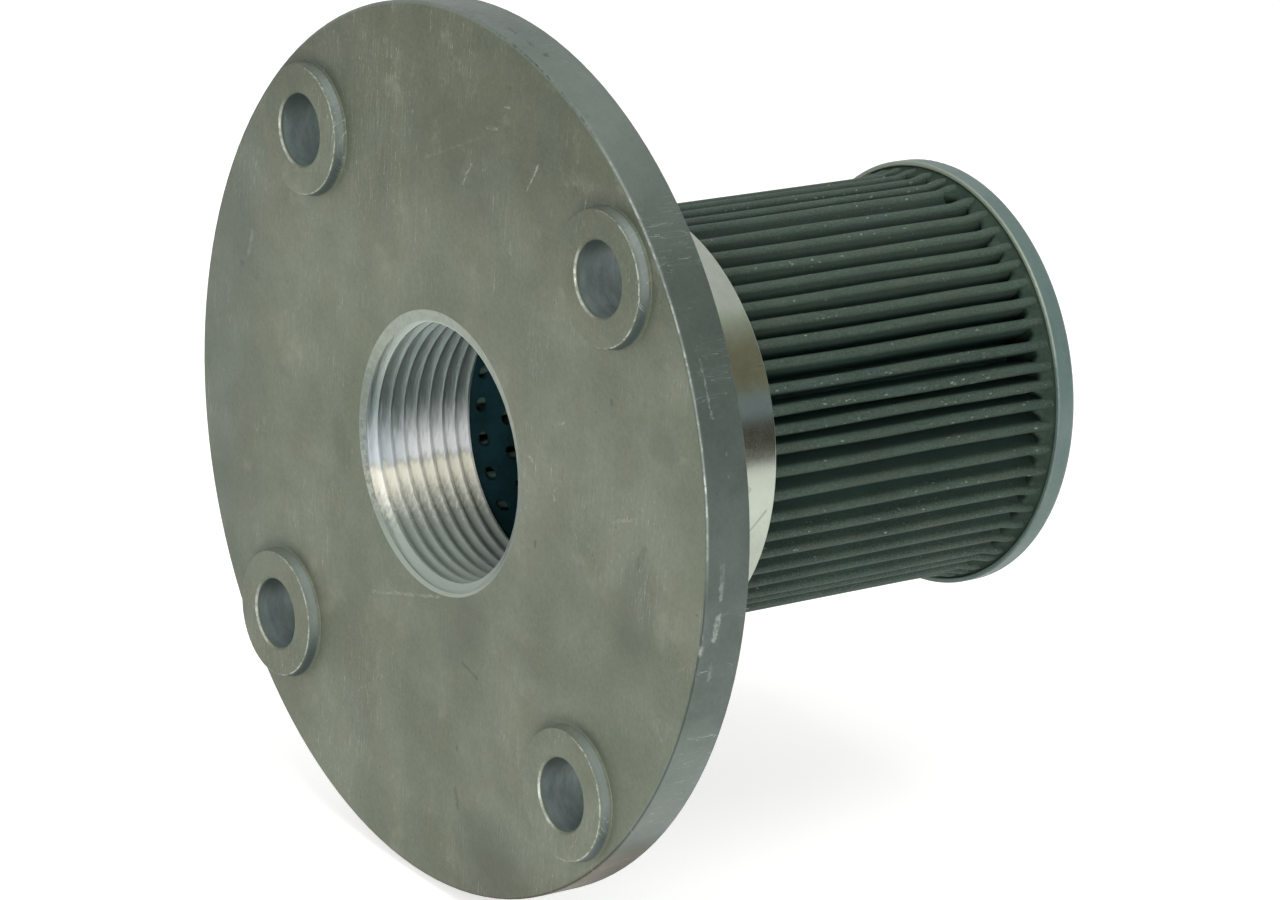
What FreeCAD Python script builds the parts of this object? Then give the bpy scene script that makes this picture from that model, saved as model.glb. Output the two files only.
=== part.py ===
import FreeCAD, Part
import math
import os

# A suction strainer that is bolted to a tank by its round cast flange.
# Lengths are millimetres and angles are degrees. The common axis is Y, and the flange's seating face is at Y = 0.
# The pleated element stands on the +Y side, and the bolt bosses and the port face -Y.

# Flange casting
flange_radius = 66.5
flange_thickness = 7.5
flange_edge_round = 0.5

# Bolt bosses, equally spaced
bolt_circle_diameter = 110.0
boss_count = 4
first_boss_angle = 45.0
boss_height = 1.9
boss_top_radius = 9.8
boss_foot_radius = 10.2
boss_foot_spread = 0.3
boss_edge_round = 0.2
boss_foot_round = 0.15
bolt_hole_radius = 5.5
bolt_hole_chamfer = 0.3
bolt_hole_back_chamfer = 0.4

# Port for a G 1 1/4 pipe thread, bored to the thread's inner diameter
port_inner_diameter = 38.952
port_mouth_radius = 21.2
port_mouth_depth = 0.6
port_length = 19.0
port_end_chamfer = 0.3
spigot_end_chamfer = 0.6

# Groove turned in the seating face, where the sleeve's end sits
groove_outer_radius = 33.4
groove_depth = 0.5

# Sleeve that is pressed on the casting's spigot
sleeve_radius = 32.8
sleeve_wall = 0.8
sleeve_length = 30.0
sleeve_edge_round = 0.25

# Perforated core tube
tube_outer_radius = 21.1
tube_wall = 0.8
tube_holes_round = 24
tube_first_hole_angle = 5.4
tube_row_pitch = 4.65
tube_hole_radius = 1.2
tube_first_row = 14.0
tube_hole_sides = 6
tube_end_margin = 2.4

# Pleated mesh
pleat_count = 58
pleat_crest_radius = 31.7
pleat_root_gap = 0.4
mesh_thickness = 0.5
crest_fold_radius = 0.55
root_fold_radius = 0.5
pleat_start_gap = 0.5
pleat_end_gap = 0.7
flare_rise = 0.6
flare_length = 2.5
flare_end_gap = 0.75

# Far end cap, pressed from sheet, with a dish that centres the core tube
cap_radius = 33.4
cap_sheet = 0.8
cap_skirt = 3.6
cap_corner_round = 1.2
cap_outer_face = 86.9
dish_radius = 19.7
dish_depth = 1.6
dish_slope_width = 0.4
dish_corner_round = 0.6
cap_lip_round = 0.25

# Adhesive that the pleats and the core tube stand in
near_adhesive_depth = 2.1
adhesive_bed_depth = 3.0
adhesive_climb = 1.5
adhesive_climb_width = 3.4

# Limits of length below which two places count as one, and within which seams are joined
same_place = 1e-6
seam_width = 1e-4

# Sizes that follow
axis = FreeCAD.Vector(0, 1, 0)
centre = FreeCAD.Vector(0, 0, 0)
flange_face = -flange_thickness
boss_face = flange_face - boss_height
port_radius = port_inner_diameter / 2
port_end = flange_face + port_length
spigot_radius = sleeve_radius - sleeve_wall
tube_inner_radius = tube_outer_radius - tube_wall
cap_inner_face = cap_outer_face - cap_sheet
cap_lip = cap_outer_face - cap_skirt
cap_inner_radius = cap_radius - cap_sheet
pleat_start = port_end + pleat_start_gap
pleat_end = cap_inner_face - pleat_end_gap
flare_end = cap_lip - flare_end_gap
flare_start = flare_end - flare_length
flared_crest_radius = pleat_crest_radius + flare_rise
pleat_root_radius = tube_outer_radius + pleat_root_gap
half_pitch = math.pi / pleat_count


def point(radius, along, angle=0.0):
    """Returns the point at a radius, a place along the axis and an angle about it in radians."""
    return FreeCAD.Vector(radius * math.cos(angle), along, radius * math.sin(angle))


def rounded_wire(corners):
    """Joins corners of (radius, along, rounding) by lines, with a tangent arc at each rounded corner."""
    spots = [FreeCAD.Vector(radius, along, 0) for radius, along, _ in corners]
    entries = []
    exits = []
    middles = []
    for number, (_, _, rounding) in enumerate(corners):
        here = spots[number]
        before = (spots[number - 1] - here).normalize()
        after = (spots[(number + 1) % len(spots)] - here).normalize()
        if rounding == 0:
            entries.append(here)
            exits.append(here)
            middles.append(None)
            continue
        half_angle = before.getAngle(after) / 2
        setback = rounding / math.tan(half_angle)
        towards = (before + after).normalize()
        reach = rounding / math.sin(half_angle) - rounding
        entries.append(here + before * setback)
        exits.append(here + after * setback)
        middles.append(here + towards * reach)
    edges = []
    for number in range(len(spots)):
        if middles[number] is not None:
            arc = Part.Arc(entries[number], middles[number], exits[number])
            edges.append(arc.toShape())
        following = (number + 1) % len(spots)
        if exits[number].distanceToPoint(entries[following]) > same_place:
            edges.append(Part.makeLine(exits[number], entries[following]))
    return Part.Wire(edges)


def turned(corners):
    """Turns a closed profile of (radius, along, rounding) corners about the Y axis."""
    return Part.Face(rounded_wire(corners)).revolve(centre, axis, 360)


def around_axis(shape, count, first_angle):
    """Copies a shape at equal angles about the Y axis."""
    copies = []
    for number in range(count):
        copy = shape.copy()
        copy.rotate(centre, axis, -(first_angle + number * 360.0 / count))
        copies.append(copy)
    return copies


def flange_head():
    """The casting: flange, spigot, port and four drilled bolt bosses."""
    body = turned([
        (port_mouth_radius, flange_face, 0),
        (port_radius, flange_face + port_mouth_depth, 0),
        (port_radius, port_end - port_end_chamfer, 0),
        (port_radius + port_end_chamfer, port_end, 0),
        (spigot_radius - spigot_end_chamfer, port_end, 0),
        (spigot_radius, port_end - spigot_end_chamfer, 0),
        (spigot_radius, -groove_depth, 0),
        (groove_outer_radius, -groove_depth, 0),
        (groove_outer_radius, 0, 0),
        (flange_radius, 0, flange_edge_round),
        (flange_radius, flange_face, flange_edge_round),
    ])
    # The boss reaches into the flange by its own height, so that the two fuse.
    boss = turned([
        (0, flange_face + boss_height, 0),
        (boss_foot_radius + boss_foot_spread, flange_face + boss_height, 0),
        (boss_foot_radius + boss_foot_spread, flange_face, 0),
        (boss_foot_radius, flange_face, boss_foot_round),
        (boss_top_radius, boss_face, boss_edge_round),
        (0, boss_face, 0),
    ])
    # The drill's cones run past both faces by the depth of each chamfer.
    drill = turned([
        (0, boss_face - bolt_hole_chamfer, 0),
        (bolt_hole_radius + 2 * bolt_hole_chamfer, boss_face - bolt_hole_chamfer, 0),
        (bolt_hole_radius, boss_face + bolt_hole_chamfer, 0),
        (bolt_hole_radius, -bolt_hole_back_chamfer, 0),
        (bolt_hole_radius + 2 * bolt_hole_back_chamfer, bolt_hole_back_chamfer, 0),
        (0, bolt_hole_back_chamfer, 0),
    ])
    out = FreeCAD.Vector(bolt_circle_diameter / 2, 0, 0)
    boss.translate(out)
    drill.translate(out)
    cast = body.fuse(around_axis(boss, boss_count, first_boss_angle))
    return cast.cut(around_axis(drill, boss_count, first_boss_angle)).removeSplitter()


def element_sleeve():
    """The bright sleeve from the groove in the seating face to the pleats."""
    return turned([
        (spigot_radius, -groove_depth, 0),
        (sleeve_radius, -groove_depth, 0),
        (sleeve_radius, sleeve_length, sleeve_edge_round),
        (spigot_radius, sleeve_length, sleeve_edge_round),
    ])


def core_tube():
    """The perforated tube, with staggered rows of holes along its whole length."""
    tube = turned([
        (tube_inner_radius, port_end, 0),
        (tube_outer_radius, port_end, 0),
        (tube_outer_radius, cap_inner_face, 0),
        (tube_inner_radius, cap_inner_face, 0),
    ])
    rows = int((cap_lip - tube_end_margin - tube_first_row) // tube_row_pitch) + 1
    stagger = 360.0 / tube_holes_round / 2
    punch_start = tube_inner_radius - tube_wall
    punch_travel = 3 * tube_wall
    punches = []
    for row in range(rows):
        along = tube_first_row + row * tube_row_pitch
        corners = []
        for side in range(tube_hole_sides + 1):
            turn = 2 * math.pi * side / tube_hole_sides
            place = along + tube_hole_radius * math.cos(turn)
            corners.append(FreeCAD.Vector(punch_start, place, tube_hole_radius * math.sin(turn)))
        face = Part.Face(Part.makePolygon(corners))
        punch = face.extrude(FreeCAD.Vector(punch_travel, 0, 0))
        first_angle = tube_first_hole_angle + stagger * (row % 2)
        punches += around_axis(punch, tube_holes_round, first_angle)
    return tube.cut(punches)


def pleat_edges(crest_radius, along, outside):
    """Makes the closed outline of one side of the folded mesh at a place along the axis."""
    shift = mesh_thickness / 2 if outside else -mesh_thickness / 2
    crest_fold = crest_fold_radius + shift
    root_fold = root_fold_radius - shift
    crest_centre = crest_radius - crest_fold_radius - mesh_thickness / 2
    root_centre = pleat_root_radius + root_fold_radius + mesh_thickness / 2
    # One pleat's wall is the straight line that touches both folds, found here in the plane of two axes.
    crest_middle = FreeCAD.Vector(crest_centre, 0, 0)
    root_middle = FreeCAD.Vector(root_centre * math.cos(half_pitch), root_centre * math.sin(half_pitch), 0)
    across = root_middle - crest_middle
    share = (crest_fold_radius + root_fold_radius) / across.Length
    along_wall = across.normalize()
    square = FreeCAD.Vector(-along_wall.y, along_wall.x, 0)
    if square.y < 0:
        square = -square
    normal = along_wall * share + square * math.sqrt(1 - share * share)
    crest_spot = crest_middle + normal * crest_fold
    root_spot = root_middle - normal * root_fold
    crest_reach = crest_spot.Length
    crest_turn = math.atan2(crest_spot.y, crest_spot.x)
    root_reach = root_spot.Length
    root_turn = math.atan2(root_spot.y, root_spot.x)
    edges = []
    for number in range(pleat_count):
        turn = 2 * half_pitch * number
        crest_start = point(crest_reach, along, turn - crest_turn)
        crest_top = point(crest_centre + crest_fold, along, turn)
        crest_stop = point(crest_reach, along, turn + crest_turn)
        root_start = point(root_reach, along, turn + root_turn)
        root_floor = point(root_centre - root_fold, along, turn + half_pitch)
        root_stop = point(root_reach, along, turn + 2 * half_pitch - root_turn)
        next_crest = point(crest_reach, along, turn + 2 * half_pitch - crest_turn)
        edges.append(Part.Arc(crest_start, crest_top, crest_stop).toShape())
        edges.append(Part.makeLine(crest_stop, root_start))
        edges.append(Part.Arc(root_start, root_floor, root_stop).toShape())
        edges.append(Part.makeLine(root_stop, next_crest))
    return edges


def pleat_pack():
    """The folded mesh: straight pleats that flare a little before they enter the far cap."""
    stations = [
        (pleat_crest_radius, pleat_start),
        (pleat_crest_radius, flare_start),
        (flared_crest_radius, flare_end),
        (flared_crest_radius, pleat_end),
    ]
    faces = []
    near_wires = []
    far_wires = []
    for outside in (True, False):
        rings = [pleat_edges(crest, along, outside) for crest, along in stations]
        for first, second in zip(rings, rings[1:]):
            for low, high in zip(first, second):
                faces.append(Part.makeRuledSurface(low, high))
        near_wires.append(Part.Wire(rings[0]))
        far_wires.append(Part.Wire(rings[-1]))
    faces.append(Part.Face(near_wires))
    faces.append(Part.Face(far_wires))
    skin = Part.Compound(faces)
    skin.sewShape()
    solid = Part.Solid(skin.Shells[0])
    solid.fix(seam_width, seam_width, seam_width)
    return solid


def far_cap():
    """The pressed cap at the far end."""
    return turned([
        (0, cap_outer_face - dish_depth, 0),
        (dish_radius - cap_sheet, cap_outer_face - dish_depth, dish_corner_round),
        (dish_radius - cap_sheet + dish_slope_width, cap_outer_face, dish_corner_round),
        (cap_radius, cap_outer_face, cap_corner_round),
        (cap_radius, cap_lip, cap_lip_round),
        (cap_inner_radius, cap_lip, cap_lip_round),
        (cap_inner_radius, cap_inner_face, cap_corner_round - cap_sheet),
        (dish_radius, cap_inner_face, 0),
        (dish_radius, cap_inner_face - dish_depth, dish_corner_round),
        (0, cap_inner_face - dish_depth, 0),
    ])


def near_adhesive(pleats):
    """The adhesive between the spigot's end face and the pleats."""
    bed = turned([
        (tube_outer_radius, port_end, 0),
        (spigot_radius - spigot_end_chamfer, port_end, 0),
        (spigot_radius, port_end, 0),
        (spigot_radius, port_end + near_adhesive_depth, 0),
        (tube_outer_radius, port_end + near_adhesive_depth, 0),
    ])
    return bed.cut(pleats)


def far_adhesive(pleats):
    """The adhesive in the far cap, which climbs between the crests of the pleats."""
    surface = cap_inner_face - adhesive_bed_depth
    corner_round = cap_corner_round - cap_sheet
    bed = turned([
        (tube_outer_radius, cap_inner_face, 0),
        (tube_outer_radius, surface, 0),
        (flared_crest_radius - adhesive_climb_width, surface, adhesive_climb),
        (flared_crest_radius - mesh_thickness, surface - adhesive_climb, 0),
        (flared_crest_radius, surface - adhesive_climb, 0),
        (flared_crest_radius, cap_lip, 0),
        (cap_inner_radius, cap_lip + cap_lip_round, 0),
        (cap_inner_radius, cap_inner_face - corner_round, 0),
        (cap_inner_radius - corner_round, cap_inner_face, 0),
    ])
    return bed.cut(pleats)


os.makedirs("parts", exist_ok=True)
pleats = pleat_pack()
nodes = {
    "flange_head": flange_head(),
    "element_sleeve": element_sleeve(),
    "core_tube": core_tube(),
    "pleat_pack": pleats,
    "near_adhesive": near_adhesive(pleats),
    "far_adhesive": far_adhesive(pleats),
    "far_cap": far_cap(),
}
for name, shape in nodes.items():
    shape.exportStep("parts/" + name + ".step")
    box = shape.optimalBoundingBox()
    print(name, "solids", len(shape.Solids), "faces", len(shape.Faces), "valid", shape.isValid())
    print("  volume", round(shape.Volume, 1), "Y", round(box.YMin, 2), "to", round(box.YMax, 2))
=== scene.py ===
"""Looks of a flange-mounted suction strainer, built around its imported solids."""

import logging
import math
import random
from collections.abc import Callable, Sequence
from dataclasses import dataclass
from enum import Enum

import bpy
from mathutils import Matrix, Vector


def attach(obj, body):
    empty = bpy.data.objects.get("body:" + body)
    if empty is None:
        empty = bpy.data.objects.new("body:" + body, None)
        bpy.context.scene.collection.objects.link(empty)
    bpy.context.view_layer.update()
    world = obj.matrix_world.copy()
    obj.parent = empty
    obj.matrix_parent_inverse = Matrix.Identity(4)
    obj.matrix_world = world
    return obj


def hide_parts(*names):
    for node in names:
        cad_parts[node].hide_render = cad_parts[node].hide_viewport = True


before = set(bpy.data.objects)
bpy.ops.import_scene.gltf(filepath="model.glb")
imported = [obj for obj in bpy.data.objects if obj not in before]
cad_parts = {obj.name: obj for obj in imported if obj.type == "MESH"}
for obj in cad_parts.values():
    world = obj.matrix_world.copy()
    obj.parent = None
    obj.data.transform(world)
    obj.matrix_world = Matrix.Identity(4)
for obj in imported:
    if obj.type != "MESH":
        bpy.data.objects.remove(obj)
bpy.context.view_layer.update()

Object = bpy.types.Object
Material = bpy.types.Material
Tree = bpy.types.NodeTree
Effects = dict[str, Tree]
Place = tuple[float, float, float]
Colour = tuple[float, float, float, float]

LOG = logging.getLogger("strainer")
SAME_PLACE = 1e-6
SEED_SIDE = 0.001
FULL_TURN = 2 * math.pi
FULL_DEGREES = 360.0
MILLIMETRES = 1000.0
ORIGIN = (0.0, 0.0, 0.0)
AXIS = (0.0, 1.0, 0.0)
WHITE = (1.0, 1.0, 1.0, 1.0)
FOLD_COUNT = 58
FIRST_CREST = 1.4
FACE = -7.5


class Slot(Enum):
    """The record's material slot names."""

    CAST = "cast_aluminium"
    TUBE = "dark_coated_steel"
    MESH = "wire_mesh"
    ADHESIVE = "adhesive"


class Wear(Enum):
    """The kinds of single mark on the casting."""

    SCRATCH = "scratch"
    PIT = "pit"
    STAIN = "stain"


class Kind(Enum):
    """The types of socket that effect groups have."""

    NUMBER = "NodeSocketFloat"
    PLACE = "NodeSocketVector"
    COLOUR = "NodeSocketColor"


# Modelling by hand


def take(*pieces: Object) -> None:
    """Selects objects alone and makes the first of them, if any, the active one.

    Args:
        pieces: The objects to work on.
    """
    bpy.context.view_layer.update()
    bpy.ops.object.select_all(action="DESELECT")
    for piece in pieces:
        piece.select_set(True)
    bpy.context.view_layer.objects.active = pieces[0] if pieces else None


def choose(piece: Object, test: Callable[[Vector], bool] = lambda place: True) -> None:
    """Goes into edit mode with the corners selected for which a test holds.

    Args:
        piece: The object to work on, which becomes the active one.
        test: Takes a corner's place and says whether it is wanted.
    """
    take(piece)
    mesh = piece.data
    mesh.edges.foreach_set("select", [False] * len(mesh.edges))
    mesh.polygons.foreach_set("select", [False] * len(mesh.polygons))
    mesh.vertices.foreach_set("select", [test(corner.co) for corner in mesh.vertices])
    bpy.ops.object.mode_set(mode="EDIT")
    bpy.ops.mesh.select_mode(type="VERT")


def leave_edit() -> None:
    """Goes back to object mode."""
    bpy.ops.object.mode_set(mode="OBJECT")


def merge_all(outward: bool = True) -> None:
    """Merges corners that share a place, in edit mode, and turns the faces outward.

    Args:
        outward: Whether the faces are turned outward.
    """
    bpy.ops.mesh.select_all(action="SELECT")
    bpy.ops.mesh.remove_doubles(threshold=SAME_PLACE)
    if outward:
        bpy.ops.mesh.normals_make_consistent(inside=False)


def mend(piece: Object) -> None:
    """Merges a whole piece's corners that share a place, and turns its faces outward.

    Args:
        piece: The closed object to mend.
    """
    choose(piece)
    merge_all()
    leave_edit()


def add_object(name: str, data: bpy.types.ID) -> Object:
    """Adds an object to the scene.

    Args:
        name: The new object's name.
        data: Its mesh, light or camera.

    Returns:
        The object.
    """
    piece = bpy.data.objects.new(name, data)
    bpy.context.scene.collection.objects.link(piece)
    return piece


def draw_chain(name: str, corners: Sequence[Place]) -> Object:
    """Draws a chain of edges, starting from a small plane that is merged to one point.

    Args:
        name: The new object's name.
        corners: The chain's places in order.

    Returns:
        The object, left in edit mode with its last corner selected.
    """
    take()
    bpy.ops.mesh.primitive_plane_add(size=SEED_SIDE, location=ORIGIN)
    piece = bpy.context.object
    piece.name = name
    piece.data.name = name
    bpy.ops.object.mode_set(mode="EDIT")
    bpy.ops.mesh.select_mode(type="VERT")
    bpy.ops.mesh.select_all(action="SELECT")
    bpy.ops.mesh.merge(type="CENTER")
    bpy.ops.transform.translate(value=corners[0])
    for before, after in zip(corners, corners[1:]):
        step = tuple(Vector(after) - Vector(before))
        bpy.ops.mesh.extrude_region_move(TRANSFORM_OT_translate={"value": step})
    return piece


def turn_form(name: str, profile: Sequence[tuple[float, float]], steps: int) -> Object:
    """Turns a closed profile about the Y axis.

    Args:
        name: The new object's name.
        profile: The corners as radius and place along the axis, without the first one repeated.
        steps: How many faces go round.

    Returns:
        The closed object.
    """
    corners = [(radius, along, 0.0) for radius, along in profile]
    piece = draw_chain(name, corners + corners[:1])
    merge_all(outward=False)
    bpy.ops.mesh.spin(steps=steps, angle=FULL_TURN, center=ORIGIN, axis=AXIS)
    merge_all()
    leave_edit()
    return piece


def apply_modifier(piece: Object, kind: str, **settings: object) -> None:
    """Adds a modifier of Blender's kind to a piece, with its own settings, and applies it.

    Args:
        piece: The object to change.
        kind: Blender's name for the kind of modifier.
        settings: The modifier's own settings.
    """
    take(piece)
    modifier = piece.modifiers.new(kind.lower(), kind)
    for key, value in settings.items():
        setattr(modifier, key, value)
    bpy.ops.object.modifier_apply(modifier=modifier.name)


def cut_with(piece: Object, tool: Object) -> None:
    """Takes a closed tool's form out of a piece, and uses the tool up.

    Args:
        piece: The object to cut.
        tool: The closed object to cut it with.
    """
    apply_modifier(piece, "BOOLEAN", object=tool, operation="DIFFERENCE", solver="EXACT")
    bpy.data.objects.remove(tool)
    mend(piece)


def join(name: str, pieces: Sequence[Object]) -> Object:
    """Joins pieces into the first of them, under a new name.

    Args:
        name: The joined object's name.
        pieces: The objects to join.

    Returns:
        The joined object.
    """
    take(*pieces)
    bpy.ops.object.join()
    pieces[0].name = name
    pieces[0].data.name = name
    return pieces[0]


def copy_turned(piece: Object, angle: float, along: float = 0.0) -> Object:
    """Copies a piece with its own mesh, turned about the axis and moved along it.

    Args:
        piece: The object to copy.
        angle: The turn from +X towards +Z, in radians.
        along: The move along the axis.

    Returns:
        The copy, with its place in its mesh.
    """
    mesh = piece.data.copy()
    mesh.transform(Matrix.Translation((0.0, along, 0.0)) @ Matrix.Rotation(-angle, 4, "Y"))
    return add_object(piece.name, mesh)


def smooth(piece: Object, angle: float) -> None:
    """Shades a piece smooth, but for edges sharper than an angle in degrees."""
    take(piece)
    bpy.ops.object.shade_smooth_by_angle(angle=math.radians(angle))


def about_axis(place: Vector) -> float:
    """Returns a place's distance from the Y axis."""
    return math.hypot(place.x, place.z)


def folds_round(place: Vector) -> float:
    """Returns how many folds a place lies past the first crest, from +X towards +Z."""
    turn = math.degrees(math.atan2(place.z, place.x))
    return (turn - FIRST_CREST) / (FULL_DEGREES / FOLD_COUNT)


# Shading


def tone(red: int, green: int, blue: int) -> Colour:
    """Turns a screen colour of 0 to 255 into the scene's linear one.

    Args:
        red: The screen's red.
        green: The screen's green.
        blue: The screen's blue.

    Returns:
        The linear colour, opaque.
    """
    parts = []
    for level in (red, green, blue):
        share = level / 255
        parts.append(share / 12.92 if share <= 0.04045 else ((share + 0.055) / 1.055) ** 2.4)
    return (*parts, 1.0)


class Signal:
    """A number, place or colour on its way between a tree's nodes, which plain signs work on."""

    def __init__(self, recipe: "Recipe", socket: bpy.types.NodeSocket) -> None:
        """Keeps the tree's recipe and the output that gives the signal."""
        self.recipe = recipe
        self.socket = socket

    def math(self, operation: str, other: object = 0.0) -> "Signal":
        """Runs a Math operation on this number and another."""
        return self.recipe.run("Math", {0: self, 1: other}, operation=operation)

    def __add__(self, other: object) -> "Signal":
        """Returns the sum of two numbers."""
        return self.math("ADD", other)

    def __sub__(self, other: object) -> "Signal":
        """Returns this number less another."""
        return self.math("SUBTRACT", other)

    def __rsub__(self, other: float) -> "Signal":
        """Returns a plain number less this one."""
        return self.recipe.run("Math", {0: other, 1: self}, operation="SUBTRACT")

    def __mul__(self, other: object) -> "Signal":
        """Returns the product of two numbers."""
        return self.math("MULTIPLY", other)

    def __or__(self, other: object) -> "Signal":
        """Returns the larger of two numbers."""
        return self.math("MAXIMUM", other)

    def reach(self, other: "Signal") -> "Signal":
        """Returns the length of two lengths that are square to each other."""
        return (self * self + other * other).math("SQRT")

    def ramp(self, low: object, high: object) -> "Signal":
        """Returns a soft step from 0 at low to 1 at high; low may be the larger of the two."""
        feeds = {"Value": self, "From Min": low, "From Max": high}
        return self.recipe.run("MapRange", feeds, "Result", interpolation_type="SMOOTHSTEP")

    def band(self, low: float, high: float, edge: float) -> "Signal":
        """Returns 1 between two values and 0 beyond them, with soft edges."""
        return self.ramp(low - edge, low + edge) * self.ramp(high + edge, high - edge)

    def between(self, first: object, second: object) -> "Signal":
        """Returns a blend of two numbers, with this one as the second one's share."""
        return self.recipe.run("Mix", {0: self, 2: first, 3: second}, data_type="FLOAT")

    def blend(self, first: object, second: object) -> "Signal":
        """Returns a blend of two colours, with this number as the second one's share."""
        return self.recipe.run("Mix", {0: self, 6: first, 7: second}, 2, data_type="RGBA")

    def vector(self, operation: str, other: object, give: str | int = 0) -> "Signal":
        """Runs a Vector Math operation on this vector and another."""
        return self.recipe.run("VectorMath", {0: self, 1: other}, give, operation=operation)

    def scaled(self, factor: object) -> "Signal":
        """Returns this vector times a number."""
        return self.recipe.run("VectorMath", {0: self, "Scale": factor}, operation="SCALE")

    def apart(self) -> list["Signal"]:
        """Returns this vector's X, Y and Z."""
        node = self.recipe.node("SeparateXYZ", {0: self})
        return [Signal(self.recipe, socket) for socket in node.outputs]

    def stretched(self, scale: Place, turn: Place = ORIGIN, shift: Place = ORIGIN) -> "Signal":
        """Returns this place turned, scaled and shifted, so that a pattern on it runs long one way."""
        feeds = {"Vector": self, "Location": shift, "Rotation": turn, "Scale": scale}
        return self.recipe.run("Mapping", feeds)

    def noise(self, scale: object, detail: float = 3.0, rough: float = 0.55) -> "Signal":
        """Returns a noise between 0 and 1 at this place."""
        feeds = {"Vector": self, "Scale": scale, "Detail": detail, "Roughness": rough}
        return self.recipe.run("TexNoise", feeds)

    def wander(self, scale: float, detail: float) -> "Signal":
        """Returns a noise vector at this place."""
        return self.recipe.run("TexNoise", {"Vector": self, "Scale": scale, "Detail": detail}, 1)


class Recipe:
    """Lays out a node tree, one node at a time."""

    def __init__(self, tree: Tree) -> None:
        """Keeps the tree to work on."""
        self.tree = tree

    def feed(self, socket: bpy.types.NodeSocket, value: object) -> None:
        """Links a signal to a socket, or sets its plain value.

        Args:
            socket: The input to feed.
            value: The signal or the plain value.
        """
        if isinstance(value, Signal):
            self.tree.links.new(value.socket, socket)
        else:
            socket.default_value = value

    def node(self, kind: str, feeds: dict[str | int, object], **settings: object) -> bpy.types.Node:
        """Adds a node.

        Args:
            kind: Blender's type name of the node, without what all shader nodes start with.
            feeds: What goes into its sockets, by name or number.
            settings: The node's own settings.

        Returns:
            The node.
        """
        made = self.tree.nodes.new("ShaderNode" + kind)
        for key, value in settings.items():
            setattr(made, key, value)
        for key, value in feeds.items():
            self.feed(made.inputs[key], value)
        return made

    def run(self, kind: str, feeds: dict[str | int, object], give: str | int = 0, **settings: object) -> Signal:
        """Adds a node as above and returns the signal that one of its outputs gives."""
        return Signal(self, self.node(kind, feeds, **settings).outputs[give])

    def rays(self, *kinds: str) -> Signal:
        """Returns 1 for rays of the named kinds and 0 for others.

        Args:
            kinds: Blender's names for kinds of ray, such as Camera.

        Returns:
            The mask of those rays.
        """
        path = self.node("LightPath", {})
        seen = [Signal(self, path.outputs[f"Is {kind} Ray"]) for kind in kinds]
        return seen[0] if len(seen) == 1 else seen[0] | self.rays(*kinds[1:])

    def graded(self, value: Signal, stops: Sequence[tuple[float, Colour]]) -> Signal:
        """Returns the colour at a value on a scale of rising stops.

        Args:
            value: The number that runs along the scale.
            stops: The levels and their colours.

        Returns:
            The colour.
        """
        low = stops[0][0]
        span = stops[-1][0] - low
        scale = self.node("ValToRGB", {0: (value - low) * (1 / span)})
        points = scale.color_ramp.elements
        for number, (level, colour) in enumerate(stops):
            point = points[number] if number < 2 else points.new(1.0)
            point.position = (level - low) / span
            point.color = colour
        return Signal(self, scale.outputs[0])


class Group(Recipe):
    """An effect group in the making."""

    def __init__(self, name: str, **takes: Kind) -> None:
        """Starts the group with its inputs, by name."""
        super().__init__(bpy.data.node_groups.new(name, "ShaderNodeTree"))
        for key, kind in takes.items():
            self.tree.interface.new_socket(name=key, in_out="INPUT", socket_type=kind.value)
        start = self.tree.nodes.new("NodeGroupInput")
        self.takes = [Signal(self, start.outputs[key]) for key in takes]

    def give(self, **results: Signal) -> Tree:
        """Ends the group with its results, of which the one named colour is no number.

        Args:
            results: The signals that leave the group.

        Returns:
            The group's tree.
        """
        for key in results:
            kind = Kind.COLOUR if key == "colour" else Kind.NUMBER
            self.tree.interface.new_socket(name=key, in_out="OUTPUT", socket_type=kind.value)
        end = self.tree.nodes.new("NodeGroupOutput")
        for key, value in results.items():
            self.feed(end.inputs[key], value)
        return self.tree


def make_mottle() -> Tree:
    """Builds the effect of a surface that is darker and lighter in soft patches.

    Returns:
        The group's tree.
    """
    group = Group("mottle", place=Kind.PLACE, patch=Kind.NUMBER, fine=Kind.NUMBER, dark=Kind.COLOUR,
                  light=Kind.COLOUR)
    place, patch, fine, dark, light = group.takes
    patches = place.noise(patch, 5.0, 0.6).ramp(0.3, 0.7)
    grains = place.noise(fine, 3.0, 0.7).ramp(0.25, 0.75)
    mask = group.run("Mix", {0: 0.35, 2: patches, 3: grains}, data_type="FLOAT")
    return group.give(colour=mask.blend(dark, light), mask=mask)


def make_specks() -> Tree:
    """Builds the effect of sparse specks, such as dust, lint or pits.

    Returns:
        The group's tree.
    """
    group = Group("specks", place=Kind.PLACE, scale=Kind.NUMBER, size=Kind.NUMBER, share=Kind.NUMBER)
    place, scale, size, share = group.takes
    pushed = place.vector("ADD", place.wander(2.5, 2.0).scaled(0.5))
    cells = group.node("TexVoronoi", {"Vector": pushed, "Scale": scale})
    near = Signal(group, cells.outputs["Distance"]).math("LESS_THAN", size)
    drawn = Signal(group, cells.outputs["Color"]).apart()[0].math("LESS_THAN", share)
    return group.give(mask=near * drawn)


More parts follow.
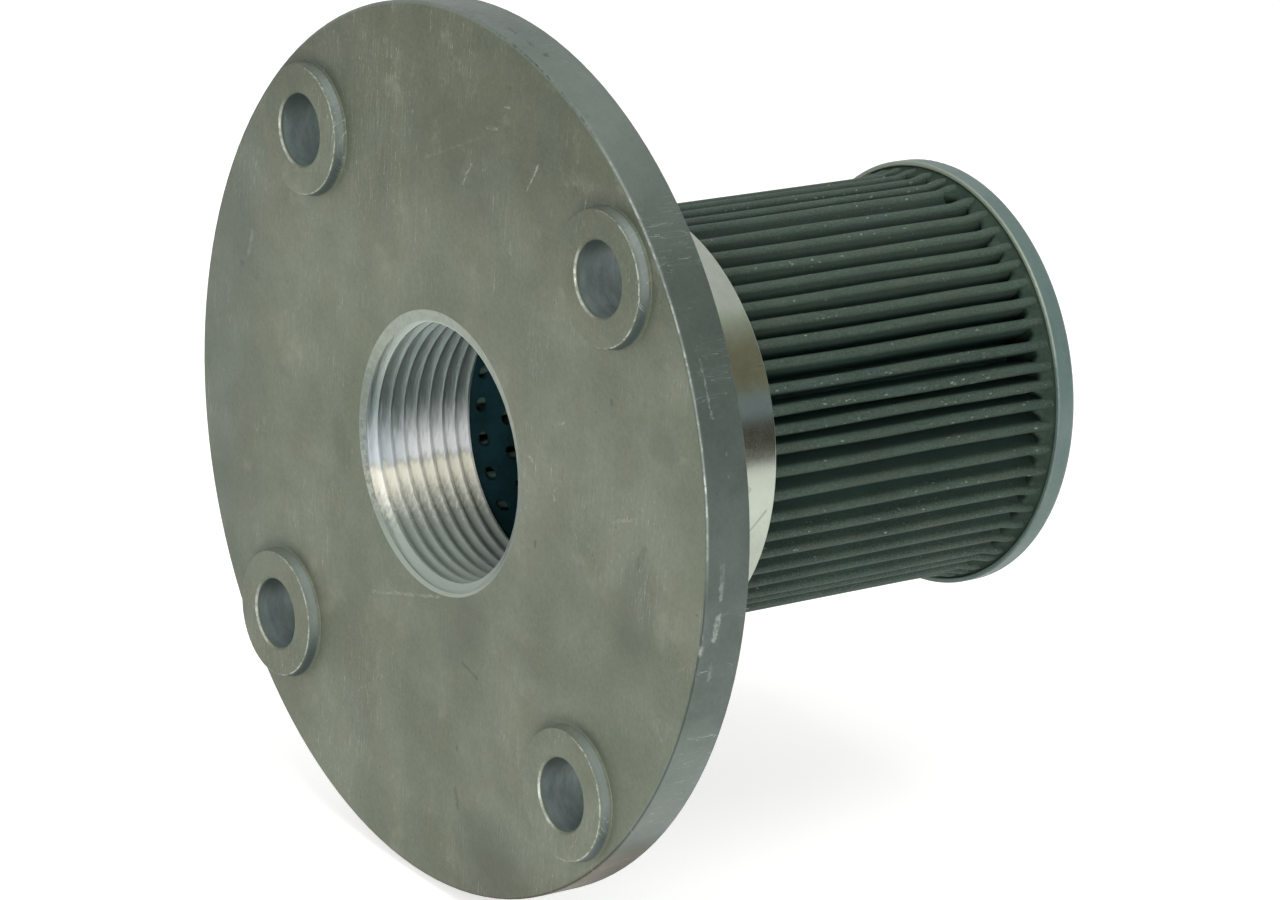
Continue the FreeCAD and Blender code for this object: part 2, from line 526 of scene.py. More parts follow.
def make_scratches() -> Tree:
    """Builds the effect of fine straight scratches that run two ways.

    Returns:
        The group's tree.
    """
    group = Group("scratches", place=Kind.PLACE, density=Kind.NUMBER)
    place, density = group.takes
    masks = []
    for turn, offset in ((0.5, 3.0), (-0.9, 11.0)):
        spot = place.stretched((2.2, 0.08, 0.09), (0.0, turn, 0.0), (offset, offset, offset))
        thin = (spot.noise(1.6, 1.0, 0.4) - 0.62).math("ABSOLUTE").ramp(0.009, 0.001)
        masks.append(thin * place.noise(0.055 + offset * 0.002, 2.0).ramp(0.5, 0.64))
    return group.give(mask=(masks[0] | masks[1]) * density)


def make_grain() -> Tree:
    """Builds the bump height of a cast or sprayed skin.

    Returns:
        The group's tree.
    """
    group = Group("grain", place=Kind.PLACE, scale=Kind.NUMBER)
    place, scale = group.takes
    return group.give(height=place.noise(scale, 4.0, 0.65) + place.noise(0.09, 2.0) * 1.6)


def make_stroke() -> Tree:
    """Builds the effect of one mark, a streak from one place to another.

    Returns:
        The group's tree.
    """
    group = Group("stroke", place=Kind.PLACE, start=Kind.PLACE, end=Kind.PLACE, width=Kind.NUMBER)
    place, start, end, width = group.takes
    line = end.vector("SUBTRACT", start)
    along = place.vector("SUBTRACT", start).vector("DOT_PRODUCT", line, "Value")
    whole = line.vector("DOT_PRODUCT", line, "Value")
    share = group.run("MapRange", {"Value": along, "From Max": whole}, "Result")
    gap = place.vector("DISTANCE", start.vector("ADD", line.scaled(share)), "Value")
    return group.give(mask=gap.ramp(width, width * 0.3))


def new_material(name: str) -> Material:
    """Makes a material with an empty node tree.

    Args:
        name: The material's name.

    Returns:
        The material.
    """
    material = bpy.data.materials.new(name)
    material.use_nodes = True
    material.node_tree.nodes.clear()
    return material


class Paint(Recipe):
    """The recipe of one finish: its material, its place in millimetres and the colour laid so far."""

    def __init__(self, name: str, effects: Effects) -> None:
        """Makes the material with its Principled node."""
        self.material = new_material(name)
        super().__init__(self.material.node_tree)
        self.effects = effects
        self.shader = self.node("BsdfPrincipled", {})
        self.node("OutputMaterial", {"Surface": Signal(self, self.shader.outputs[0])})
        self.place = self.run("TexCoord", {}, "Object").scaled(MILLIMETRES)
        self.colour = None

    def use(self, effect: str, give: str | int = 0, **feeds: object) -> Signal:
        """Places an effect group, on the finish's own place unless the feeds give one."""
        return self.run("Group", {"place": self.place, **feeds}, give, node_tree=self.effects[effect])

    def mottle(self, patch: float, fine: float, dark: object, light: object, **feeds: object
               ) -> tuple[Signal, Signal]:
        """Places the mottle group.

        Args:
            patch: The scale of its soft patches.
            fine: The scale of its fine ones.
            dark: The darker colour.
            light: The lighter colour.
            feeds: Another place, if it isn't the finish's own.

        Returns:
            Its colour and its mask of lighter patches.
        """
        colour = self.use("mottle", patch=patch, fine=fine, dark=dark, light=light, **feeds)
        return colour, Signal(self, colour.socket.node.outputs["mask"])

    def lay(self, colour: object, mask: Signal) -> None:
        """Lays a colour over what is there, as far as a mask lets it show."""
        self.colour = mask.blend(self.colour, colour)

    def close(self, rough: object, metal: object, height: Signal, depth: float, strength: float) -> Material:
        """Feeds the shader.

        Args:
            rough: The roughness.
            metal: How metallic the finish is.
            height: The bump's height, where 1 stands for the whole depth.
            depth: The bump's depth in metres.
            strength: How much of the bump is used.

        Returns:
            The finished material.
        """
        bump = self.run("Bump", {"Height": height, "Distance": depth, "Strength": strength})
        feeds = {"Base Color": self.colour, "Roughness": rough, "Metallic": metal, "Normal": bump}
        for key, value in feeds.items():
            self.feed(self.shader.inputs[key], value)
        return self.material


@dataclass(frozen=True)
class Mark:
    """One mark on the casting, from one place to another, in millimetres."""

    wear: Wear
    start: Place
    end: Place
    width: float
    share: float


def on_face(wear: Wear, *marks: tuple[float, ...]) -> list[Mark]:
    """Makes marks on the flange's face.

    Args:
        wear: Their kind.
        marks: Each one's X and Z at its start, X and Z at its end, width and share.

    Returns:
        The marks.
    """
    return [Mark(wear, (x, FACE, z), (end_x, FACE, end_z), width, share)
            for x, z, end_x, end_z, width, share in marks]


CASTING_MARKS = (
    *on_face(Wear.SCRATCH,
             (18.0, 45.5, 20.5, 50.0, 0.3, 0.6), (2.0, 42.0, 4.0, 45.5, 0.3, 0.45),
             (29.5, 4.2, 29.6, 2.5, 0.3, 0.7), (23.0, 7.2, 24.0, 6.7, 0.35, 0.7),
             (29.5, 14.3, 31.0, 15.0, 0.3, 0.5), (-15.0, -27.0, 3.0, -21.5, 0.35, 0.4),
             (44.0, 4.5, 49.5, 6.7, 0.35, 0.35), (7.3, 51.7, 9.7, 52.2, 0.3, 0.5),
             (11.0, 55.8, 12.6, 56.0, 0.3, 0.5), (27.0, 36.7, 28.4, 33.0, 0.35, 0.5),
             (-8.0, 43.0, 6.0, 50.0, 0.3, 0.14), (-53.5, 18.5, -54.5, 14.5, 0.7, 0.25)),
    Mark(Wear.SCRATCH, (58.0, -5.2, 32.6), (61.5, -5.0, 25.3), 0.28, 0.55),
    Mark(Wear.SCRATCH, (66.3, -4.8, 5.4), (66.5, -4.8, 0.4), 0.5, 0.5),
    Mark(Wear.SCRATCH, (66.5, -4.9, -2.2), (66.3, -5.3, -5.6), 0.6, 0.7),
    Mark(Wear.SCRATCH, (65.8, -5.1, -9.5), (65.4, -5.1, -12.0), 0.45, 0.55),
    Mark(Wear.SCRATCH, (66.1, -7.2, -6.6), (66.1, -7.2, -7.4), 0.6, 0.9),
    Mark(Wear.SCRATCH, (63.2, -3.5, 20.6), (63.2, -3.5, 20.4), 0.3, 0.6),
    Mark(Wear.SCRATCH, (64.2, -3.4, 17.5), (64.2, -3.4, 17.3), 0.3, 0.6),
    *on_face(Wear.PIT,
             (41.7, 21.7, 41.7, 21.3, 0.45, 0.6), (25.8, -4.8, 25.8, -5.4, 0.45, 0.6),
             (9.6, -43.0, 9.6, -43.3, 0.5, 0.5), (9.8, -49.6, 10.9, -52.4, 0.6, 0.4),
             (50.4, 0.3, 52.0, 3.3, 0.8, 0.35), (12.0, 58.8, 12.3, 58.8, 0.5, 0.5),
             (-56.3, 12.7, -56.0, 12.5, 0.7, 0.4), (9.5, -29.5, 13.6, -30.5, 0.4, 0.5)),
    Mark(Wear.PIT, (16.1, -4.5, 64.5), (16.4, -4.5, 64.4), 0.6, 0.8),
    Mark(Wear.PIT, (7.3, -5.0, 66.0), (9.2, -5.0, 65.8), 0.4, 0.6),
    Mark(Wear.PIT, (12.3, -4.9, 65.3), (13.5, -4.9, 65.1), 0.4, 0.6),
    *on_face(Wear.STAIN,
             (53.5, 19.0, 55.5, 18.7, 3.5, 0.4), (11.0, -22.0, 7.4, -27.5, 6.0, 0.4),
             (-16.8, -45.5, -16.0, -48.4, 6.0, 0.3), (14.5, -56.0, 22.3, -54.6, 7.0, 0.4),
             (51.5, -3.0, 51.0, -9.7, 7.0, 0.5), (-26.4, -5.0, -24.8, -9.0, 3.0, 0.3),
             (2.0, 48.4, 3.7, 44.4, 10.0, 0.3)),
)


class CastPaint(Paint):
    """The casting's recipe, which also knows the way to the nearest boss and how wear and the painted edge
    highlights break up.
    """

    def __init__(self, name: str, effects: Effects, boss_offset: float) -> None:
        """Adds the places about the nearest boss, whose middle lies at an offset along X and Z."""
        super().__init__(name, effects)
        self.x, self.y, self.z = self.place.apart()
        self.radius = self.x.reach(self.z)
        over = self.x.math("ABSOLUTE") - boss_offset
        up = self.z.math("ABSOLUTE") - boss_offset
        self.to_boss = over.reach(up)
        self.side_x = over * self.x.math("SIGN")
        self.side_z = up * self.z.math("SIGN")
        self.broken = self.place.noise(0.9, 4.0, 0.75).ramp(0.4, 0.6)


@dataclass(frozen=True)
class Finish:
    """A finish: its material's name and the effects to choose from. Lengths of finishes are millimetres."""

    name: str
    effects: Effects


@dataclass(frozen=True)
class CastFinish(Finish):
    """Dull cast aluminium with a machined port, drilled bosses and edge wear, with painted light and shade on its
    face, rim, edges, holes and port.
    """

    port_radius: float = 21.35
    boss_offset: float = 38.891
    hole_radius: float = 5.56
    hole_mouth_radius: float = 5.86
    port_depth: float = -6.95
    rim_start: float = 65.8
    boss_edge: float = 9.62
    boss_face: float = -9.0
    front_face: float = -7.2

    def lay_skin(self, paint: CastPaint) -> Signal:
        """Lays the cast skin with its clouds of colour, and painted shade that darkens the face towards the top
        and towards its left edge.

        Args:
            paint: The casting's recipe.

        Returns:
            The mask of the skin's lighter patches.
        """
        place, x, z = paint.place, paint.x, paint.z
        # Painted shade: the face's colours darken towards the top, away from the light that comes from below.
        painted_shade_fade = z.ramp(56.0, 20.0)
        paint.colour, lighter = paint.mottle(0.06, 1.3, painted_shade_fade.blend(tone(72, 80, 66), tone(95, 104, 89)),
                                             painted_shade_fade.blend(tone(90, 97, 81), tone(116, 124, 109)))
        paint.lay(tone(106, 103, 82), place.noise(0.1, 5.0, 0.7).ramp(0.42, 0.66) * 0.25)
        paint.lay(tone(142, 148, 134), place.noise(2.4, 2.0, 0.8).ramp(0.5, 0.74) * 0.2)
        # Painted shade: the face darkens towards its left edge, away from the light.
        paint.lay(tone(84, 93, 85), x.ramp(-42.0, -60.0) * 0.4)
        paint.lay(tone(78, 80, 68), z.ramp(-50.0, -60.0) * x.ramp(5.0, 25.0) * 0.55)
        paint.lay(tone(140, 140, 126), place.noise(0.11, 4.0, 0.7).ramp(0.56, 0.74) * 0.35)
        stain = place.stretched((1.0, 1.0, 0.6)).noise(0.07, 5.0, 0.7).ramp(0.6, 0.8)
        paint.lay(tone(84, 88, 80), stain * 0.5)
        return lighter

    def lay_rim(self, paint: CastPaint, lighter: Signal) -> None:
        """Lays the rim's colours, from its crown down to its darker foot, with painted light that grows towards
        the bottom, on its crown and in a band low down.

        Args:
            paint: The casting's recipe.
            lighter: The mask of the skin's lighter patches.
        """
        z = paint.z
        # Painted light: the rim's colours grow lighter towards the bottom, as if lit from below.
        low = z.ramp(42.0, -22.0)
        rim, _ = paint.mottle(0.12, 1.4, low.blend(tone(66, 77, 71), tone(83, 92, 87)),
                              low.blend(tone(84, 95, 88), tone(102, 111, 106)))
        # Painted light: a lighter crown at the top of the rim.
        rim = (z.ramp(44.0, 60.0) * lighter.between(0.6, 1.0)).blend(rim, tone(112, 121, 114))
        # Painted light: a lighter band low on the rim.
        rim = (z.ramp(-18.0, -27.0) * z.ramp(-45.0, -38.0) * 0.5).blend(rim, tone(128, 137, 132))
        # Browner towards the bottom, and darker still at the front of the foot.
        rim = (z.ramp(-40.0, -49.0) * 0.8).blend(rim, tone(100, 93, 76))
        dark_foot = z.ramp(-40.0, -50.0) * paint.y.ramp(-6.0, -1.5) * 0.85
        paint.lay(dark_foot.blend(rim, tone(62, 54, 42)), paint.radius.ramp(self.rim_start, self.rim_start + 0.5))

    def shade_bosses(self, paint: CastPaint) -> None:
        """Lays the light and shade on the bosses' flanks, and the shade round them on the face.

        Args:
            paint: The casting's recipe.
        """
        to_boss, side_x, side_z = paint.to_boss, paint.side_x, paint.side_z
        flank = (to_boss.band(self.boss_edge + 0.22, self.boss_edge + 0.75, 0.12)
                 * paint.y.ramp(self.front_face - 0.6, self.front_face - 0.8) * side_x.ramp(-4.0, 7.0))
        paint.lay(side_z.ramp(3.0, -4.0).blend(tone(122, 132, 130), tone(58, 72, 78)), flank * 0.8)
        halo = (to_boss.ramp(12.4, 10.6) * to_boss.ramp(10.0, 10.5) * side_z.ramp(3.0, 9.0)
                * side_x.ramp(10.0, 4.0) * paint.y.ramp(-5.0, -7.0))
        paint.lay(tone(66, 74, 64), halo * 0.45)

    def edge_wear_and_light(self, paint: CastPaint) -> tuple[Signal, Signal]:
        """Works out the wear on the edges, and where painted highlights and painted shade lie on them.

        Args:
            paint: The casting's recipe.

        Returns:
            The mask of edges scuffed bright and painted highlights on the edges that face the light, and the mask
            of the rim's edge where it is marked dark by chips at the top and by painted shade lower down.
        """
        y, z, broken = paint.y, paint.z, paint.broken
        patchy = paint.place.noise(0.35, 4.0, 0.7).ramp(0.4, 0.62)
        edge = (paint.radius.band(self.rim_start + 0.4, self.rim_start + 0.66, 0.06)
                * y.ramp(self.front_face, self.front_face - 0.15) * paint.x.ramp(0.0, 15.0))
        # Painted highlight with scuffing: a bright, broken line along the front edge, only on its right and upper
        # side.
        ring = edge * z.ramp(60.0, 53.0) * z.ramp(0.0, 14.0) * (patchy * broken).between(0.3, 1.0)
        # Dark chips at the top of the rim's edge, and painted shade on its lower part.
        chipped_and_shaded = edge * (z.ramp(54.0, 60.0) * broken | z.ramp(8.0, -4.0) * 0.85)
        # Painted highlight: the bosses' edges are bright on their right side, broken into patches.
        boss_ring = (paint.to_boss.band(self.boss_edge - 0.04, self.boss_edge + 0.16, 0.05)
                     * y.ramp(self.boss_face, self.boss_face - 0.15) * broken * paint.side_x.ramp(-3.0, 6.0))
        # Painted highlight: the holes' mouths are bright on their lower left side.
        mouth = (paint.to_boss.band(self.hole_radius, self.hole_mouth_radius, 0.06)
                 * y.ramp(self.boss_face + 0.5, self.boss_face + 0.3)
                 * (paint.side_x + paint.side_z * 0.5).ramp(-2.0, -5.5) * broken.between(0.4, 1.0))
        return ring | boss_ring | mouth, chipped_and_shaded

    def lay_marks(self, paint: CastPaint) -> Signal:
        """Lays the stains and the pits, and works out the scratches.

        Args:
            paint: The casting's recipe.

        Returns:
            The mask of all the scratches.
        """
        shift = paint.place.wander(1.2, 3.0).vector("SUBTRACT", (0.5, 0.5, 0.5))
        place = paint.place.vector("ADD", shift)
        masks = {}
        for mark in CASTING_MARKS:
            mask = paint.use("stroke", place=place, start=mark.start, end=mark.end, width=mark.width) * mark.share
            masks[mark.wear] = masks[mark.wear] | mask if mark.wear in masks else mask
        paint.lay(tone(80, 87, 75), masks[Wear.STAIN])
        paint.lay(tone(52, 56, 50), masks[Wear.PIT] * paint.broken.between(0.5, 1.0))
        single = masks[Wear.SCRATCH] * paint.broken.between(0.2, 0.9)
        return paint.use("scratches", density=0.8) | single

    def lay_holes(self, paint: CastPaint) -> None:
        """Lays the colour in the drilled holes, with painted shade at their top.

        Args:
            paint: The casting's recipe.
        """
        hole = (paint.to_boss.ramp(self.hole_radius + 0.02, self.hole_radius - 0.02)
                * paint.y.ramp(self.boss_face - 0.2, self.boss_face + 0.6))
        drilled, _ = paint.mottle(0.3, 2.0, tone(98, 112, 111), tone(127, 140, 139),
                                  place=paint.place.stretched((1.0, 3.0, 1.0)))
        # Painted shade: the holes grow dark towards their top.
        paint.lay((paint.side_z.ramp(-1.0, 4.5) * 0.85).blend(drilled, tone(58, 68, 64)), hole)

    def lay_port(self, paint: CastPaint, port: Signal) -> tuple[Signal, Signal]:
        """Lays the machined port's colours, with painted highlights and painted reflections that lie on its
        turns.

        Args:
            paint: The casting's recipe.
            port: The mask of the port.

        Returns:
            The port's own roughness and how metallic it is.
        """
        place, y, z = paint.place, paint.y, paint.z
        bore, _ = paint.mottle(0.15, 1.5, tone(130, 143, 141), tone(152, 164, 162),
                               place=place.stretched((1.0, 2.0, 1.0)))
        # Painted light: lighter near the mouth on the upper side.
        bore = (y.ramp(-1.5, -6.0) * z.ramp(2.0, 10.0) * 0.7).blend(bore, tone(184, 192, 184))
        # Painted reflection: a lighter grey-green low in the port.
        lower = z.ramp(-9.0, -15.0)
        bore = lower.blend(bore, tone(143, 153, 145))
        # Painted reflection and painted highlight on the left wall: blue-white above, cream below, both brighter
        # deeper in.
        left = paint.x.ramp(0.0, -10.0)
        streaky = place.stretched((1.6, 2.6, 0.22)).noise(1.0, 3.0, 0.7) - 0.5
        ragged = z + streaky * 7.0
        streaked = z + streaky * 3.5
        painted_blue_reflection = left * ragged.ramp(1.5, -7.5) * streaked.ramp(-9.2, -7.4)
        painted_glint = left * streaked.ramp(-7.4, -9.2) * ragged.ramp(-16.5, -10.0)
        deep = y.ramp(-5.0, 3.0)
        bore = painted_blue_reflection.blend(bore, deep.blend(tone(206, 214, 220), tone(250, 253, 255)))
        bore = painted_glint.blend(bore, deep.blend(tone(246, 244, 232), tone(253, 251, 238)))
        mouth = port * y.ramp(self.port_depth + 0.06, self.port_depth - 0.06)
        # Painted light on the mouth's ring: lighter at its bottom and at its top.
        mouth_colour = z.ramp(-19.0, -10.0).blend(tone(147, 155, 145), tone(116, 124, 115))
        mouth_colour = z.ramp(4.0, 12.0).blend(mouth_colour, tone(141, 148, 137))
        paint.lay((mouth * paint.broken.between(0.72, 1.0)).blend(bore, mouth_colour), port)
        metal = (painted_blue_reflection | painted_glint | lower).between(0.7, 0.15)
        return mouth.between(0.34, 0.5), mouth.between(metal, 0.4)

    def make(self) -> Material:
        """Builds the material.

        Returns:
            The material.
        """
        paint = CastPaint(self.name, self.effects, self.boss_offset)
        lighter = self.lay_skin(paint)
        self.lay_rim(paint, lighter)
        self.shade_bosses(paint)
        rubbed_and_highlit, chipped_and_shaded = self.edge_wear_and_light(paint)
        # Dark chips and painted shade on the rim's edge.
        paint.lay(tone(50, 58, 52), chipped_and_shaded * 0.7)
        bright = rubbed_and_highlit | self.lay_marks(paint)
        # Painted highlights on the edges, together with scuffed edges and scratches, laid bright.
        paint.lay(tone(182, 187, 181), bright * 0.75)
        self.lay_holes(paint)
        port = paint.radius.ramp(self.port_radius + 0.03, self.port_radius - 0.03)
        port_rough, port_metal = self.lay_port(paint, port)
        pit = paint.use("specks", scale=0.6, size=0.1, share=0.08) * (1.0 - port)
        paint.lay(tone(60, 62, 56), pit * 0.5)
        rough = chipped_and_shaded.between(bright.between(lighter.between(0.6, 0.46), 0.34), 0.8)
        turned = paint.place.stretched((0.4, 6.0, 0.4)).noise(1.2, 2.0) * 0.5
        height = port.between(paint.use("grain", scale=1.3) - pit * 1.5, turned)
        return paint.close(port.between(rough, port_rough), port.between(bright.between(0.35, 0.7), port_metal),
                           height, 0.00016, 0.5)


@dataclass(frozen=True)
class SleeveFinish(Finish):
    """Bright plated steel with faint turning lines, fine scratches and one faint darker line."""

    dark_line_start: Place = (31.8, 25.0, -8.0)
    dark_line_end: Place = (32.6, 28.7, -3.4)
    dark_line_width: float = 0.3

    def make(self) -> Material:
        """Builds the material.

        Returns:
            The material.
        """
        paint = Paint(self.name, self.effects)
        paint.colour, lighter = paint.mottle(0.06, 0.6, tone(166, 172, 161), tone(184, 191, 179))
        paint.lay(tone(130, 134, 124), paint.use("scratches", density=0.5))
        # A faint darker line across the sleeve.
        dark_line = paint.use("stroke", start=self.dark_line_start, end=self.dark_line_end, width=self.dark_line_width)
        paint.lay(tone(104, 110, 98), dark_line * 0.45)
        lines = paint.place.stretched((0.05, 9.0, 0.05)).noise(1.0, 2.0)
        return paint.close(lighter.between(0.16, 0.26), 1.0, lines, 0.00002, 0.5)


@dataclass(frozen=True)
class CoatFinish(Finish):
    """A plain coat or a cured mass with a grain, such as the tube's coating or the adhesive."""

    patch: float
    fine: float
    dark: Colour
    light: Colour
    rough: tuple[float, float]
    metal: float
    shine: float
    grain: float
    depth: float
    strength: float

    def make(self) -> Material:
        """Builds the material.

        Returns:
            The material.
        """
        paint = Paint(self.name, self.effects)
        paint.colour, lighter = paint.mottle(self.patch, self.fine, self.dark, self.light)
        paint.feed(paint.shader.inputs["Specular IOR Level"], self.shine)
        grain = paint.use("grain", scale=self.grain)
        return paint.close(lighter.between(*self.rough), self.metal, grain, self.depth, self.strength)


@dataclass(frozen=True)
class MeshFinish(Finish):
    """Woven wire cloth, dull and dark, with lint caught on it and painted light that lifts the roots between its
    folds and its upper side. The wires follow the UV map, in metres.
    """

    wire_pitch: float = 0.00032
    crest_radius: float = 31.7
    root_radius: float = 27.0

    def make(self) -> Material:
        """Builds the material.

        Returns:
            The material.
        """
        paint = Paint(self.name, self.effects)
        place = paint.place
        x, _, z = place.apart()
        radius = x.reach(z)
        warp, weft = [(way * (FULL_TURN / self.wire_pitch)).math("SINE").math("ABSOLUTE")
                      for way in paint.run("UVMap", {}, uv_map="cloth").apart()[:2]]
        wires = (warp | weft).ramp(0.35, 0.95)
        cloth, _ = paint.mottle(0.11, 2.2, tone(38, 58, 48), tone(60, 80, 68))
        tinge = place.stretched((1.0, 0.35, 1.0)).noise(0.3, 4.0, 0.7)
        cloth = (tinge.ramp(0.52, 0.7) * 0.5).blend(cloth, tone(72, 68, 54))
        cloth = (tinge.ramp(0.46, 0.3) * 0.5).blend(cloth, tone(50, 68, 80))
        # Painted light: the cloth is lighter on its upper side.
        high = z.ramp(13.0, 27.0)
        cloth = (high * 0.3).blend(cloth, tone(86, 104, 88))
        # Painted light: the roots between the folds are lighter than the crests, and lighter still on the upper
        # side.
        paint.colour = high.blend(tone(80, 112, 106), tone(124, 148, 136))
        paint.lay(cloth, radius.ramp(self.root_radius, self.crest_radius))
        paint.lay(tone(24, 32, 30), (1.0 - wires) * 0.55)
        paint.lay(tone(108, 126, 114), place.noise(3.5, 2.0, 0.8).ramp(0.4, 0.68) * 0.34)
        lint = paint.use("specks", place=place.stretched((1.0, 0.55, 1.0)), scale=1.5, size=0.2, share=0.34)
        crests = radius.ramp(self.crest_radius - 2.5, self.crest_radius - 0.8)
        paint.lay(tone(168, 180, 174), lint * place.noise(0.07).ramp(0.44, 0.56) * crests * 0.55)
        return paint.close(0.62, 0.25, wires, 0.00006, 0.8)


@dataclass(frozen=True)
class CapFinish(Finish):
    """Smooth grey coat on the pressed cap, scuffed bright in patches along its lip, with a painted highlight on
    the lip's upper right and painted light along its top.
    """

    lip: float = 83.3

    def make(self) -> Material:
        """Builds the material.

        Returns:
            The material.
        """
        paint = Paint(self.name, self.effects)
        x, y, z = paint.place.apart()
        paint.colour, lighter = paint.mottle(0.06, 0.9, tone(88, 108, 105), tone(107, 126, 122))
        paint.lay(tone(160, 170, 166), paint.use("specks", scale=0.9, size=0.1, share=0.12) * 0.25)
        at_lip = y.ramp(self.lip + 0.3, self.lip + 0.15)
        # Painted highlight on the lip's upper right, with patches scuffed bright.
        patchy = paint.place.noise(0.22).ramp(0.42, 0.6) * 0.15
        painted_glint = z.band(11.5, 22.0, 2.0) * x.ramp(18.0, 22.0)
        paint.lay(tone(190, 194, 180), at_lip * (painted_glint | patchy) * 0.3)
        # Painted light: the lip is lighter along its top.
        paint.lay(tone(152, 162, 144), at_lip * z.ramp(16.0, 23.0) * 0.7)
        return paint.close(lighter.between(0.48, 0.38), 0.15, paint.use("grain", scale=0.7), 0.00004, 0.5)


# The pieces


def settle(piece: Object, material: Material, node: str) -> None:
    """Dresses a new piece and sets it on the part's body.

    Args:
        piece: The new piece.
        material: Its finish.
        node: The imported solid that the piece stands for.
    """
    piece.data.materials.clear()
    piece.data.materials.append(material)
    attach(piece, "root")
    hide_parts(node)
    LOG.info("%s: %d corners, %d faces", piece.name, len(piece.data.vertices), len(piece.data.polygons))


def dress(node: str, material: Material) -> None:
    """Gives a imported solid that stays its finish.

    Args:
        node: The solid's name.
        material: Its finish.
    """
    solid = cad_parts[node]
    if not solid.data.materials:
        solid.data.materials.append(material)
    for place in solid.material_slots:
        place.material = material
    LOG.info("%s: kept, with the finish %s", node, material.name)


@dataclass(frozen=True)
class FlangeHead:
    """The casting, with the pipe thread tapped into its port."""

    major_radius: float = 0.020955
    pitch: float = 0.0023091
    tool_start: float = -0.0110
    tool_end: float = 0.0135
    core_radius: float = 0.0192
    root_round: float = 0.000317
    flank_angle: float = 27.5
    steps: int = 96
    crisp_angle: float = 28.0

    def tap_profile(self) -> list[Place]:
        """Works out the tap's outline.

        Returns:
            The outline's corners along the axis, one tooth after another.
        """
        lean = math.radians(self.flank_angle)
        round_centre = self.major_radius - self.root_round
        shoulder = round_centre + self.root_round * math.sin(lean)
        half_top = self.root_round * math.cos(lean)
        half_foot = half_top + (shoulder - self.core_radius) * math.tan(lean)
        mid = math.pi / 4 + lean / 2
        half_mid = self.root_round * math.cos(mid)
        mid_radius = round_centre + self.root_round * math.sin(mid)
        flank = [(self.core_radius, half_foot), (shoulder, half_top), (mid_radius, half_mid)]
        tooth = [(radius, -half) for radius, half in flank] + [(self.major_radius, 0.0)] + flank[::-1]
        teeth = math.ceil((self.tool_end - self.tool_start) / self.pitch) + 2
        corners = []
        for number in range(teeth):
            middle = self.tool_start + (number - 0.5) * self.pitch
            corners += [(radius, middle + along, 0.0) for radius, along in tooth]
        first_radius, first_along, _ = corners[0]
        return corners + [(first_radius, first_along + teeth * self.pitch, 0.0)]

    def tap(self) -> Object:
        """Builds the tap, a closed rod with the thread's turns on it.

        Returns:
            The closed tool.
        """
        tool = draw_chain("port_tap", self.tap_profile())
        leave_edit()
        apply_modifier(tool, "SCREW", axis="Y", angle=FULL_TURN, screw_offset=self.pitch, steps=self.steps,
                       render_steps=self.steps, use_merge_vertices=False, use_smooth_shade=False)
        choose(tool)
        merge_all(outward=False)
        for along, outer in ((self.tool_start, False), (self.tool_end, True)):
            bpy.ops.mesh.select_all(action="SELECT")
            bpy.ops.mesh.bisect(plane_co=(0.0, along, 0.0), plane_no=AXIS, use_fill=True,
                                clear_inner=not outer, clear_outer=outer)
        merge_all()
        leave_edit()
        return tool

    def build(self, material: Material) -> None:
        """Cuts the thread into a copy of the casting and dresses it.

        Args:
            material: The piece's finish.
        """
        casting = add_object("flange_casting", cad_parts["flange_head"].data.copy())
        choose(casting)
        bpy.ops.mesh.customdata_custom_splitnormals_clear()
        merge_all()
        leave_edit()
        cut_with(casting, self.tap())
        smooth(casting, self.crisp_angle)
        settle(casting, material, "flange_head")


@dataclass(frozen=True)
class CoreTube:
    """The tube inside the pleats, with its round punched holes."""

    outer_radius: float = 0.0211
    wall: float = 0.0008
    start: float = 0.0115
    end: float = 0.0861
    holes_round: int = 24
    first_hole: float = 5.4
    first_row: float = 0.0140
    row_pitch: float = 0.00465
    last_row: float = 0.0809
    hole_radius: float = 0.00118
    hole_sides: int = 20
    steps: int = 120
    crisp_angle: float = 35.0

    def punches(self) -> Object:
        """Builds all the punches, whose rows are offset by turns.

        Returns:
            One object that holds them.
        """
        take()
        bpy.ops.mesh.primitive_cylinder_add(vertices=self.hole_sides, radius=self.hole_radius,
                                            depth=4 * self.wall,
                                            location=(self.outer_radius - self.wall / 2, 0.0, 0.0),
                                            rotation=(0.0, math.pi / 2, 0.0))
        bpy.ops.object.transform_apply(location=True, rotation=True, scale=True)
        punch = bpy.context.object
        rows = int((self.last_row - self.first_row) // self.row_pitch) + 1
        made = []
        for row in range(rows):
            for number in range(self.holes_round):
                turn = (number + 0.5 * (row % 2)) * (FULL_TURN / self.holes_round)
                along = self.first_row + row * self.row_pitch
                made.append(copy_turned(punch, math.radians(self.first_hole) + turn, along))
        bpy.data.objects.remove(punch)
        return join("tube_punches", made)

    def build(self, material: Material) -> None:
        """Turns the tube, punches it and dresses it.

        Args:
            material: The piece's finish.
        """
        inner = self.outer_radius - self.wall
        tube = turn_form("perforated_tube", [(inner, self.start), (self.outer_radius, self.start),
                                             (self.outer_radius, self.end), (inner, self.end)], self.steps)
        cut_with(tube, self.punches())
        smooth(tube, self.crisp_angle)
        settle(tube, material, "core_tube")


